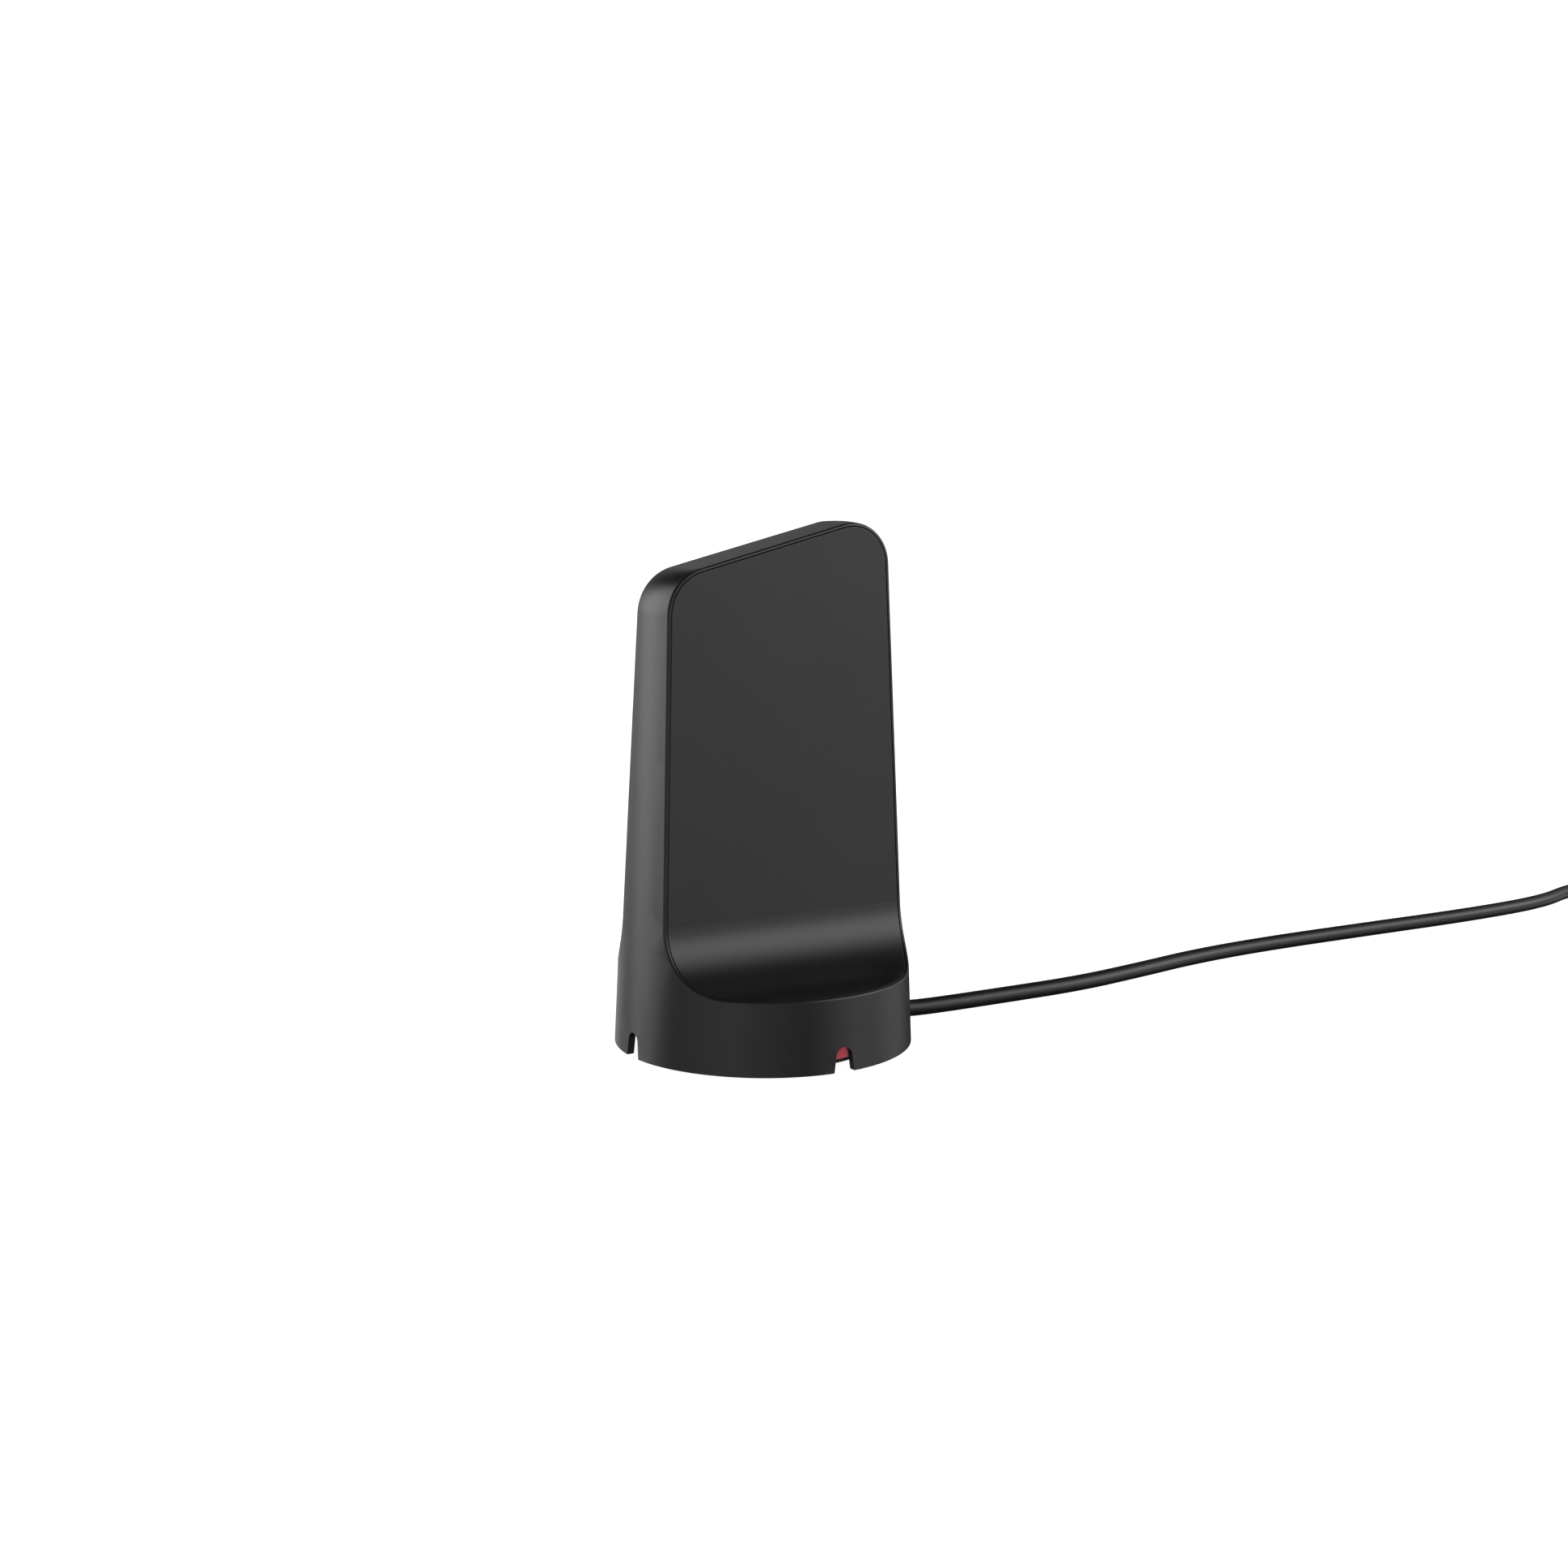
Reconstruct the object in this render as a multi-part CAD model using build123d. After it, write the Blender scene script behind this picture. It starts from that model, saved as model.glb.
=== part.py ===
"""Desktop wireless charging stand with a cord-storage base.

A round drum carries an upright slab. A device stands on the shelf in front of the slab, or behind it.
Inside the slab are two flat charging coils and their circuit board. A ballast weight lies in the hub
under the drum. The supply cord leaves the hub, can be wound round it inside the drum's skirt, and
comes out through one of four notches in the rim.

Millimetres. +Z is up and -Y is the front. The origin is on the floor, under the drum's axis.
"""

import math
import os

from build123d import *

# ---- Outer form -------------------------------------------------------------------------------------
RIM_Z = 0.6  # the hard rim stands this far off the floor
RIM_RADIUS = 40.0
SIDE_DRAFT = 0.04336  # the drum and the slab's sides lie on one cone, and this is its slope
FACE_OFFSET = 12.6  # front and rear faces from the axis, at the rim's height
FRONT_LEAN = 0.0335  # how far each face leans inwards per mm of height
REAR_LEAN = 0.0445
SHELF_Z = 20.1
SCOOP_RADIUS = 17.0
TOP_Z = 133.6  # height of the slanted top above the axis
TOP_SLOPE = 0.2465
LOW_CORNER_RADIUS = 12.3
HIGH_CORNER_RADIUS = 11.2
EDGE_RADIUS = 0.65
REACH = 60.0  # half the size of the blocks that the form is cut from

# ---- Walls ------------------------------------------------------------------------------------------
WALL = 2.0
COVER_THICKNESS = 1.8
COVER_INSET = 1.0  # from the outer edge to the front cover's own edge
COVER_GAP = 0.25  # the fine groove all round the front cover
COVER_EDGE_RADIUS = 0.2
LEDGE_THICKNESS = 1.5  # the ledge behind the front cover
LEDGE_INSET = 3.5
LEDGE_DEPTH = COVER_THICKNESS + LEDGE_THICKNESS
HOOK_DEPTH = LEDGE_DEPTH + 1.1  # how far behind the face the cover's hooks reach
HOOK_OFFSET = 12.0
HOOK_WIDTH = 5.0
HOOK_STEM = 1.4
HOOK_TONGUE = (2.6, 1.0)  # its reach under the ledge, and its thickness
NOTCH_TOP_RADIUS = 2.47
NOTCH_ARCH_Z = RIM_Z + 4.05
NOTCH_RIM_HALF_WIDTH = 3.03

# ---- Base -------------------------------------------------------------------------------------------
HUB_RADIUS = 30.5
HUB_WALL = 2.0
FOOT_THICKNESS = 1.0
HUB_FLOOR_Z = FOOT_THICKNESS + 2.0
HUB_FLANGE_Z = 15.2
HUB_TOP_Z = SHELF_Z - LEDGE_DEPTH - 0.1
HUB_FLANGE_RADIUS = 37.15
HUB_SCREW_OFFSET = 17.0  # the four base screws stand at (+-17, +-17)
PILLAR_RADIUS = 3.6
PILLAR_TOP_Z = 11.0
BOSS_RADIUS = 3.0
BOSS_GAP = 0.05
BALLAST_RADIUS = 27.0
BALLAST_THICKNESS = 6.0
CORD_SLOT_HALF_WIDTH = 11.5
SEAT_RADII = (34.6, 36.4)  # the ring under the rear shelf that the hub's flange bears on
SEAT_HEIGHT = 1.6
RELIEF_RADIUS = 3.7
RELIEF_NECK_RADIUS = 3.2
RELIEF_TIP_RADIUS = 3.0
RELIEF_FLANGE = 1.3
CLAMP_X = 22.0
CLAMP_SCREW_Y = 6.6
CLAMP_SIZE = (5.0, 18.4, 4.0)
CLAMP_BOSS_RADIUS = 2.2
CLAMP_BOSS_HEIGHT = 4.4

# ---- Screws: shank radius, shank length, head radius, head height -----------------------------------
HUB_SCREW = (1.3, 7.6, 2.4, 1.8)
CARRIER_SCREW = (1.0, 6.0, 1.9, 1.2)
BOARD_SCREW = (0.8, 3.4, 1.5, 1.0)
CLAMP_SCREW = (1.0, 6.0, 1.9, 1.2)

# ---- Charging parts, as depths behind the front face ------------------------------------------------
COIL_DEPTH = 2.1
COIL_THICKNESS = 1.2
FERRITE_THICKNESS = 0.8
SPREADER_THICKNESS = 0.8
CARRIER_THICKNESS = 2.0
BOARD_THICKNESS = 1.2
BOARD_STAND_OFF = 2.5
FERRITE_DEPTH = COIL_DEPTH + COIL_THICKNESS
SPREADER_DEPTH = FERRITE_DEPTH + FERRITE_THICKNESS
CARRIER_DEPTH = SPREADER_DEPTH + SPREADER_THICKNESS
CARRIER_BACK = CARRIER_DEPTH + CARRIER_THICKNESS
BOARD_DEPTH = CARRIER_BACK + BOARD_STAND_OFF
BOARD_BACK = BOARD_DEPTH + BOARD_THICKNESS

COIL_HEIGHTS = {"lower": 54.5, "upper": 97.0}
COIL_INNER_RADIUS = 8.8
COIL_TURNS = 10
COIL_PITCH = 1.22
COIL_WIRE_WIDTH = 1.1
FERRITE_SIZE = 41.0
FERRITE_CORNER = 6.0
CARRIER_WIDTH = 54.0
CARRIER_HEIGHT = 88.0
CARRIER_CENTRE = 75.5
CARRIER_RIM = 1.2
CARRIER_SCREW_INSET = 4.6
CARRIER_CORNER = 6.0
CARRIER_BOSS_RADIUS = 2.6
CARRIER_SCREW_BITE = 5.5
SPREADER_WIDTH = 40.0
BOARD_WIDTH = 38.0
BOARD_HEIGHT = 43.0
BOARD_CENTRE = 55.5
BOARD_SCREW_INSET = 2.6
BOARD_POST_RADIUS = 1.9
CHIPS = [(0.0, 58.0, 7.0), (-9.5, 47.0, 5.0)]  # place across and up, and side
CHIP_LEADS_PER_SIDE = 4
TRANSISTOR_PLACES = [(x, 68.0) for x in (-12.5, -6.5, 6.5, 12.5)]
CAPACITOR_PLACES = [(x, up) for x in (8.0, 11.0, 14.0) for up in (47.0, 51.0, 55.0)]
CAN_PLACES = [(-10.8, 39.5), (-3.9, 39.5)]
CAN_RADIUS = 3.1
CAN_HEIGHT = 5.2
CAN_FOOT = (6.6, 0.8)
INDUCTOR_PLACE = (13.0, 61.5)
INDUCTOR_SIZE = (6.6, 3.0)
SOCKET_X = 4.5
LEAD_PLUG_DEPTH = 2.1  # the input lead's axis behind the board
INPUT_LEAD_DIAMETER = 2.4
WIRE_DIAMETER = 0.9
WIRE_OFFSET = 0.8
LEAD_HOLE_RADIUS = 2.2
LEAD_OFFSET = 5.4  # each coil's inner lead goes back through the stack this far below its centre

# ---- Cord -------------------------------------------------------------------------------------------
CORD_DIAMETER = 4.7
CORD_RADIUS = CORD_DIAMETER / 2
CORD_EXIT_Z = 5.4
CORD_FLOOR_Z = 2.38
RELIEF_OUTER_X = 34.0
CORD_ROUTE = [
    (19.5, 0.0, CORD_EXIT_Z),
    (35.0, 0.0, CORD_EXIT_Z),
    (44.5, -0.1, CORD_FLOOR_Z),
    (58.0, -1.4, CORD_FLOOR_Z),
    (76.0, -1.6, CORD_FLOOR_Z),
    (108.0, -1.8, CORD_FLOOR_Z),
    (136.0, 2.5, CORD_FLOOR_Z),
    (163.0, 7.4, CORD_FLOOR_Z),
    (195.0, 9.4, CORD_FLOOR_Z),
    (240.0, 8.6, CORD_FLOOR_Z),
    (288.0, 7.3, CORD_FLOOR_Z),
    (328.0, 9.4, CORD_FLOOR_Z),
    (354.0, 18.5, CORD_FLOOR_Z),
    (374.0, 18.5, CORD_FLOOR_Z),
]
COIL_CENTRE = (402.0, -12.0)
WOUND_OUTER_RADIUS = 32.85
WOUND_INNER_RADIUS = 14.05
WOUND_HEIGHT = 8.9
TIE_THICKNESS = 0.9
TIE_WIDTH = 9.0
PLUG_AXIS_Y = -40.8
PLUG_AXIS_Z = 3.8
TAIL_ROUTE = [
    (384.0, -40.15, 7.0),
    (371.0, -40.15, 7.0),
    (355.0, PLUG_AXIS_Y, PLUG_AXIS_Z),
    (341.0, PLUG_AXIS_Y, PLUG_AXIS_Z),
]

# ---- Plug -------------------------------------------------------------------------------------------
PLUG_TAIL_X = 341.0
PLUG_RELIEF_LENGTH = 9.0
PLUG_BODY = (23.0, 15.6, 7.4)
PLUG_SHELL = (12.0, 12.0, 4.5)
PLUG_SHELL_WALL = 0.35


def cone_radius(z, inset=0.0):
    """Outside radius of the drafted form at height z."""
    return RIM_RADIUS - SIDE_DRAFT * (z - RIM_Z) - inset


def front_y(z, inset=0.0):
    """Where the front face stands at height z."""
    return -FACE_OFFSET + FRONT_LEAN * (z - RIM_Z) + inset * math.hypot(1, FRONT_LEAN)


def rear_y(z, inset=0.0):
    """Where the rear face stands at height z."""
    return FACE_OFFSET - REAR_LEAN * (z - RIM_Z) - inset * math.hypot(1, REAR_LEAN)


def top_z(x, inset=0.0):
    """Height of the slanted top at x."""
    return TOP_Z + TOP_SLOPE * x - inset * math.hypot(1, TOP_SLOPE)


def side_profile(front_inset, rear_inset, low):
    """The form seen from the side: two shelves, each swept up into its face by a scoop."""
    tall = TOP_Z + REACH
    front_shelf = SHELF_Z - front_inset
    rear_shelf = SHELF_Z - rear_inset
    front_corner = Vector(front_y(front_shelf, front_inset), front_shelf)
    rear_corner = Vector(rear_y(rear_shelf, rear_inset), rear_shelf)
    outline = Polygon(
        (-REACH, low),
        (-REACH, front_shelf),
        front_corner,
        (front_y(tall, front_inset), tall),
        (rear_y(tall, rear_inset), tall),
        rear_corner,
        (REACH, rear_shelf),
        (REACH, low),
        align=None,
    )
    for corner, inset in ((front_corner, front_inset), (rear_corner, rear_inset)):
        vertex = outline.vertices().sort_by_distance(corner)[0]
        outline = fillet(vertex, SCOOP_RADIUS + inset)
    return outline


def stand_form(side_inset, front_inset, rear_inset, low=RIM_Z):
    """The stand's outer form, shrunk by separate amounts at its sides and top, its front and its rear."""
    height = TOP_Z + REACH - low
    cone = Cone(
        cone_radius(low, side_inset),
        cone_radius(low + height, side_inset),
        height,
        align=(Align.CENTER, Align.CENTER, Align.MIN),
    )
    across = extrude(Plane.YZ * side_profile(front_inset, rear_inset, low), REACH, both=True)
    under_top = Polygon(
        (-REACH, low),
        (REACH, low),
        (REACH, top_z(REACH, side_inset)),
        (-REACH, top_z(-REACH, side_inset)),
        align=None,
    )
    along = extrude(Plane.XZ * under_top, REACH, both=True)
    form = (Pos(0, 0, low) * cone) & across & along
    for side, radius in ((-1, LOW_CORNER_RADIUS), (1, HIGH_CORNER_RADIUS)):
        corner_x = side * cone_radius(TOP_Z, side_inset)
        corner = Vector(corner_x, 0, top_z(corner_x, side_inset))
        form = fillet(form.edges().sort_by_distance(corner)[0], radius - side_inset)
    return form


def rim_edges(form, side):
    """The edges round the front (side -1) or rear (side 1) face, scoop and shelf."""
    panel = []
    for face in form.faces():
        point = face.center()
        normal = face.normal_at(point)
        faces_out = normal.Y * side > 0.9
        is_shelf = normal.Z > 0.99 and point.Z < SHELF_Z + 1
        is_scoop = face.geom_type == GeomType.CYLINDER and abs(face.axis_of_rotation.direction.X) > 0.99
        is_flat = face.geom_type == GeomType.PLANE
        if point.Y * side > 0 and (is_scoop or (is_flat and (faces_out or is_shelf))):
            panel.append(face)
    edges = [edge for face in panel for edge in face.edges()]
    return [edge for edge in edges if sum(edge.is_same(other) for other in edges) == 1]


def notch_cutter():
    """A rim notch with sloping sides and a round top, for the front; it cuts through the skirt only."""
    arch = Pos(0, NOTCH_ARCH_Z) * Circle(NOTCH_TOP_RADIUS)
    legs = Polygon(
        (-NOTCH_RIM_HALF_WIDTH, RIM_Z),
        (NOTCH_RIM_HALF_WIDTH, RIM_Z),
        (NOTCH_TOP_RADIUS, NOTCH_ARCH_Z),
        (-NOTCH_TOP_RADIUS, NOTCH_ARCH_Z),
        align=None,
    )
    opening = extrude(Plane.XZ * (arch + legs), 8)
    return Pos(0, -cone_radius(RIM_Z) + WALL + 3, 0) * opening


def face_place(x, up, depth):
    """A place inside the slab: x across, up along the front face, and depth behind it."""
    plane = Plane(origin=(0, front_y(0), 0), x_dir=(1, 0, 0), z_dir=(0, -1, FRONT_LEAN))
    return plane.location * Pos(x, up, -depth)


def plate(width, height, thickness, corner):
    """A rounded plate whose front is at its local z = 0."""
    return extrude(RectangleRounded(width, height, corner), -thickness)


def rod(radius, length, z=0.0):
    """A cylinder from z upwards."""
    return Pos(0, 0, z) * Cylinder(radius, length, align=(Align.CENTER, Align.CENTER, Align.MIN))


def screw(size):
    """A pan-head screw: its head's seat is at z = 0, its shank points to -Z, and its drive is a cross."""
    shank_radius, shank_length, head_radius, head_height = size
    head = rod(head_radius, head_height)
    head = fillet(head.edges().sort_by(Axis.Z)[-1], head_height * 0.4)
    shank = rod(shank_radius, shank_length, -shank_length)
    shank = chamfer(shank.edges().sort_by(Axis.Z)[0], shank_radius * 0.4)
    slot = Pos(0, 0, head_height) * Box(head_radius * 1.1, head_radius * 0.28, head_height)
    return head + shank - slot - Rot(0, 0, 90) * slot


def bent_rod(points, radii, diameter):
    """A round rod along straight runs joined by tangent arcs, or along one straight run."""
    path = FilletPolyline(*points, radius=radii) if radii else Line(*points)
    start = Plane(origin=path @ 0, z_dir=path % 0)
    return sweep(start * Circle(diameter / 2), path=path, transition=Transition.ROUND)


def cord_radii(points):
    """The largest arcs that a route's runs allow."""
    route = [Vector(*point) for point in points]
    radii = []
    for before, corner, after in zip(route, route[1:], route[2:]):
        turn = math.radians((corner - before).get_angle(after - corner))
        run = min((corner - before).length, (after - corner).length)
        radii.append(0.45 * run / math.tan(turn / 2))
    return radii


def base_screw_places():
    return [(i * HUB_SCREW_OFFSET, j * HUB_SCREW_OFFSET) for i in (-1, 1) for j in (-1, 1)]


def shelf_boss(x, y):
    """A boss that hangs down to a hub pillar, with a hole for the screw's thread; its top is uncut."""
    bottom = PILLAR_TOP_Z + BOSS_GAP
    boss = rod(BOSS_RADIUS, SHELF_Z, bottom) - rod(HUB_SCREW[0], HUB_SCREW[1] - 1.5, bottom)
    return Pos(x, y, 0) * boss


def carrier_screw_places():
    x = CARRIER_WIDTH / 2 - CARRIER_SCREW_INSET
    y = CARRIER_HEIGHT / 2 - CARRIER_SCREW_INSET
    return [(i * x, CARRIER_CENTRE + j * y) for i in (-1, 1) for j in (-1, 1)]


def board_screw_places():
    x = BOARD_WIDTH / 2 - BOARD_SCREW_INSET
    y = BOARD_HEIGHT / 2 - BOARD_SCREW_INSET
    return [(i * x, BOARD_CENTRE + j * y) for i in (-1, 1) for j in (-1, 1)]


# ---- Casing -----------------------------------------------------------------------------------------


def cover_blank(gap, edge_radius):
    """The front cover's plate over face, scoop and shelf; gap grows it to make its seat."""
    outer = stand_form(COVER_INSET - gap, 0, 0)
    if edge_radius > 0:
        outer = fillet(rim_edges(outer, -1), edge_radius)
    inner = stand_form(COVER_INSET - gap, COVER_THICKNESS, -1)
    front = Pos(0, -REACH, 0) * Box(4 * REACH, 2 * REACH, 8 * REACH)
    upper = Pos(0, 0, SHELF_Z - COVER_THICKNESS) * Box(
        4 * REACH, 4 * REACH, 4 * REACH, align=(Align.CENTER, Align.CENTER, Align.MIN)
    )
    return (outer - inner) & front & upper


def make_housing():
    outer = stand_form(0, 0, 0)
    for side in (-1, 1):
        outer = fillet(rim_edges(outer, side), EDGE_RADIUS)
    below = RIM_Z - 5
    cavity = stand_form(WALL, LEDGE_DEPTH, WALL, low=below)
    window = stand_form(LEDGE_INSET, 0, WALL, low=SHELF_Z - LEDGE_DEPTH - 1)
    housing = outer - cavity - window - cover_blank(COVER_GAP, 0)
    for quarter in range(4):
        housing -= Rot(0, 0, 90 * quarter) * notch_cutter()
    inside = stand_form(WALL / 2, 0, WALL / 2, low=below)
    for x, y in base_screw_places():
        if y > 0:
            housing += shelf_boss(x, y) & inside
    boss = rod(CARRIER_BOSS_RADIUS, REACH, -REACH)
    boss -= rod(CARRIER_SCREW[0], CARRIER_SCREW_BITE, -CARRIER_SCREW_BITE)
    for x, up in carrier_screw_places():
        housing += face_place(x, up, CARRIER_BACK + BOSS_GAP) * boss & inside
    inner, outer = SEAT_RADII
    seat = rod(outer, SEAT_HEIGHT, HUB_TOP_Z + 0.1) - rod(inner, SEAT_HEIGHT, HUB_TOP_Z + 0.1)
    seat &= Pos(0, REACH, 0) * Box(4 * REACH, 2 * REACH, 4 * REACH)
    return housing + (seat & inside)


def make_front_cover():
    cover = cover_blank(0, COVER_EDGE_RADIUS)
    inside = stand_form(WALL, COVER_THICKNESS / 2, 0, low=RIM_Z - 5)
    for x, y in base_screw_places():
        if y < 0:
            cover += shelf_boss(x, y) & inside
    tilt = Rot(0, 0, math.degrees(math.atan(TOP_SLOPE)))
    stem_length = HOOK_DEPTH - COVER_THICKNESS / 2
    reach, thickness = HOOK_TONGUE
    for x in (-HOOK_OFFSET, HOOK_OFFSET):
        edge = face_place(x, top_z(x, LEDGE_INSET), 0) * tilt
        stem = Pos(0, -1.0, stem_length / 2 - HOOK_DEPTH) * Box(HOOK_WIDTH, HOOK_STEM, stem_length)
        tongue = Pos(0, -0.4, thickness / 2 - HOOK_DEPTH) * Box(HOOK_WIDTH, reach, thickness)
        cover += edge * (stem + tongue)
    return cover


# ---- Base -------------------------------------------------------------------------------------------


def relief_form():
    """The outside of the moulded sleeve where the cord passes through the hub's wall."""
    wall_inner = HUB_RADIUS - HUB_WALL - 0.1
    wall_outer = HUB_RADIUS - 0.4
    inner_x = wall_inner - RELIEF_FLANGE
    steps = [(inner_x, RELIEF_RADIUS), (wall_inner, RELIEF_RADIUS), (wall_inner, RELIEF_NECK_RADIUS)]
    steps += [(wall_outer, RELIEF_NECK_RADIUS), (wall_outer, RELIEF_RADIUS)]
    steps += [(HUB_RADIUS + 1.0, RELIEF_RADIUS), (RELIEF_OUTER_X, RELIEF_TIP_RADIUS)]
    outline = Polygon((inner_x, 0), *steps, (RELIEF_OUTER_X, 0), align=None)
    return Pos(0, 0, CORD_EXIT_Z) * revolve(Plane.XZ * outline, Axis.X)


def make_relief():
    return relief_form() - make_cord()


def clamp_boss_places():
    return [(CLAMP_X, -CLAMP_SCREW_Y), (CLAMP_X, CLAMP_SCREW_Y)]


def make_hub():
    body = rod(HUB_RADIUS, HUB_TOP_Z - FOOT_THICKNESS, FOOT_THICKNESS)
    body += rod(HUB_FLANGE_RADIUS, HUB_TOP_Z - HUB_FLANGE_Z, HUB_FLANGE_Z)
    body -= rod(HUB_RADIUS - HUB_WALL, HUB_TOP_Z, HUB_FLOOR_Z)
    for x, y in base_screw_places():
        pillar = rod(PILLAR_RADIUS, PILLAR_TOP_Z - FOOT_THICKNESS, FOOT_THICKNESS)
        pillar -= rod(HUB_SCREW[2] + 0.2, PILLAR_TOP_Z - 2.0 - FOOT_THICKNESS, FOOT_THICKNESS)
        hole = rod(HUB_SCREW[2] + 0.2, HUB_FLOOR_Z, 0)
        body = body - Pos(x, y, 0) * hole + Pos(x, y, 0) * pillar
        body -= Pos(x, y, 0) * rod(HUB_SCREW[0] + 0.15, PILLAR_TOP_Z, FOOT_THICKNESS)
    for x, y in clamp_boss_places():
        boss = rod(CLAMP_BOSS_RADIUS, CLAMP_BOSS_HEIGHT, HUB_FLOOR_Z)
        boss -= rod(CLAMP_SCREW[0], CLAMP_BOSS_HEIGHT, HUB_FLOOR_Z + 0.3)
        body += Pos(x, y, 0) * boss
    return body - relief_form()


def make_foot():
    return rod(HUB_RADIUS, FOOT_THICKNESS)


def make_ballast():
    disc = rod(BALLAST_RADIUS, BALLAST_THICKNESS, HUB_FLOOR_Z)
    disc = chamfer(disc.edges(), 0.5)
    for x, y in base_screw_places():
        disc -= Pos(x, y, 0) * rod(PILLAR_RADIUS + 0.4, 20)
    slot = Box(REACH, 2 * CORD_SLOT_HALF_WIDTH, REACH, align=(Align.MIN, Align.CENTER, Align.CENTER))
    return disc - Pos(-6, 0, 0) * slot


def make_clamp():
    """The bar that two screws press down on the cord; its sides sit over the screws' bosses."""
    length, width, height = CLAMP_SIZE
    boss_top = HUB_FLOOR_Z + CLAMP_BOSS_HEIGHT
    bar = Pos(CLAMP_X, 0, CORD_EXIT_Z + 2.2) * Box(length, width, height)
    bar = fillet(bar.edges().filter_by(Axis.Z), 1.5)
    bar -= Pos(0, 0, CORD_EXIT_Z) * Rot(0, 90, 0) * rod(CORD_RADIUS, REACH)
    for x, y in clamp_boss_places():
        bar -= Pos(x, y, 0) * rod(CLAMP_BOSS_RADIUS + 0.05, boss_top)
        bar -= Pos(x, y, 0) * rod(CLAMP_SCREW[0] + 0.15, REACH)
    return bar


# ---- Charging parts ---------------------------------------------------------------------------------


def make_coil(up):
    """A flat coil wound as half turns about two centres, so each half turn runs on into the next."""
    edges = {1: [], -1: []}
    for half in range(2 * COIL_TURNS):
        radius = COIL_INNER_RADIUS + COIL_PITCH * half / 2 + COIL_PITCH / 2
        shift = COIL_PITCH / 4 * (-1 if half % 2 == 0 else 1)
        for side in edges:
            arc_radius = radius + side * COIL_WIRE_WIDTH / 2
            edges[side].append(CenterArc((shift, 0), arc_radius, 180 * (half % 2), 180))
    ends = [Line(edges[-1][i] @ t, edges[1][i] @ t) for i, t in ((0, 0), (-1, 1))]
    outline = make_face(Wire(edges[1] + edges[-1] + ends))
    return face_place(0, up, COIL_DEPTH) * extrude(outline, -COIL_THICKNESS)


def lead_hole(up, depth, thickness):
    """The hole that a coil's inner lead goes back through."""
    return face_place(0, up - LEAD_OFFSET, depth) * rod(LEAD_HOLE_RADIUS, thickness + 1, -thickness - 0.5)


def make_ferrite(up):
    sheet = plate(FERRITE_SIZE, FERRITE_SIZE, FERRITE_THICKNESS, FERRITE_CORNER)
    return face_place(0, up, FERRITE_DEPTH) * sheet - lead_hole(up, FERRITE_DEPTH, FERRITE_THICKNESS)


def make_spreader():
    sheet = face_place(0, CARRIER_CENTRE, SPREADER_DEPTH) * plate(
        SPREADER_WIDTH, CARRIER_HEIGHT - 2 * CARRIER_RIM - 0.4, SPREADER_THICKNESS, 3
    )
    for up in COIL_HEIGHTS.values():
        sheet -= lead_hole(up, SPREADER_DEPTH, SPREADER_THICKNESS)
    return sheet


def make_carrier():
    """The plate that holds coils, ferrites and heat spreader in front and the board behind."""
    base = plate(CARRIER_WIDTH, CARRIER_HEIGHT, CARRIER_THICKNESS, CARRIER_CORNER)
    rim_height = CARRIER_DEPTH - COIL_DEPTH
    rim = Pos(0, 0, rim_height) * (
        plate(CARRIER_WIDTH, CARRIER_HEIGHT, rim_height, CARRIER_CORNER)
        - plate(
            CARRIER_WIDTH - 2 * CARRIER_RIM,
            CARRIER_HEIGHT - 2 * CARRIER_RIM,
            rim_height,
            CARRIER_CORNER - CARRIER_RIM,
        )
    )
    carrier = face_place(0, CARRIER_CENTRE, CARRIER_DEPTH) * (base + rim)
    for x, up in carrier_screw_places():
        carrier -= face_place(x, up, CARRIER_DEPTH) * rod(CARRIER_SCREW[0] + 0.15, REACH, -REACH / 2)
    for x, up in board_screw_places():
        post = rod(BOARD_POST_RADIUS, BOARD_STAND_OFF, -BOARD_STAND_OFF) - rod(BOARD_SCREW[0], 3, -3)
        carrier += face_place(x, up, CARRIER_BACK) * post
    for up in COIL_HEIGHTS.values():
        carrier -= lead_hole(up, CARRIER_DEPTH, CARRIER_THICKNESS)
    return carrier


def make_board():
    board = face_place(0, BOARD_CENTRE, BOARD_DEPTH) * plate(BOARD_WIDTH, BOARD_HEIGHT, BOARD_THICKNESS, 2)
    for x, up in board_screw_places():
        board -= face_place(x, up, BOARD_DEPTH) * rod(BOARD_SCREW[0] + 0.1, 4, -2)
    return board


def on_board(x, up, width, height, rise):
    """A block that stands on the board's back."""
    return face_place(x, up, BOARD_BACK) * Pos(0, 0, -rise / 2) * Box(width, height, rise)


def make_chips():
    """The controller and its driver, each with leads along two sides."""
    chips = []
    for x, up, width in CHIPS:
        body = face_place(x, up, BOARD_BACK + 0.1) * Pos(0, 0, -0.45) * Box(width, width, 0.9)
        for side in (-1, 1):
            for step in range(CHIP_LEADS_PER_SIDE):
                along = (step - (CHIP_LEADS_PER_SIDE - 1) / 2) * width / (CHIP_LEADS_PER_SIDE + 1)
                foot_x = x + side * (width / 2 + 0.5)
                body += on_board(foot_x, up + along, 1.4, 0.5, 0.5)
        chips.append(body)
    return chips


def make_transistors():
    return [on_board(x, up, 4.0, 4.4, 1.1) for x, up in TRANSISTOR_PLACES]


def make_capacitors():
    return [on_board(x, up, 1.8, 3.2, 1.6) for x, up in CAPACITOR_PLACES]


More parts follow.
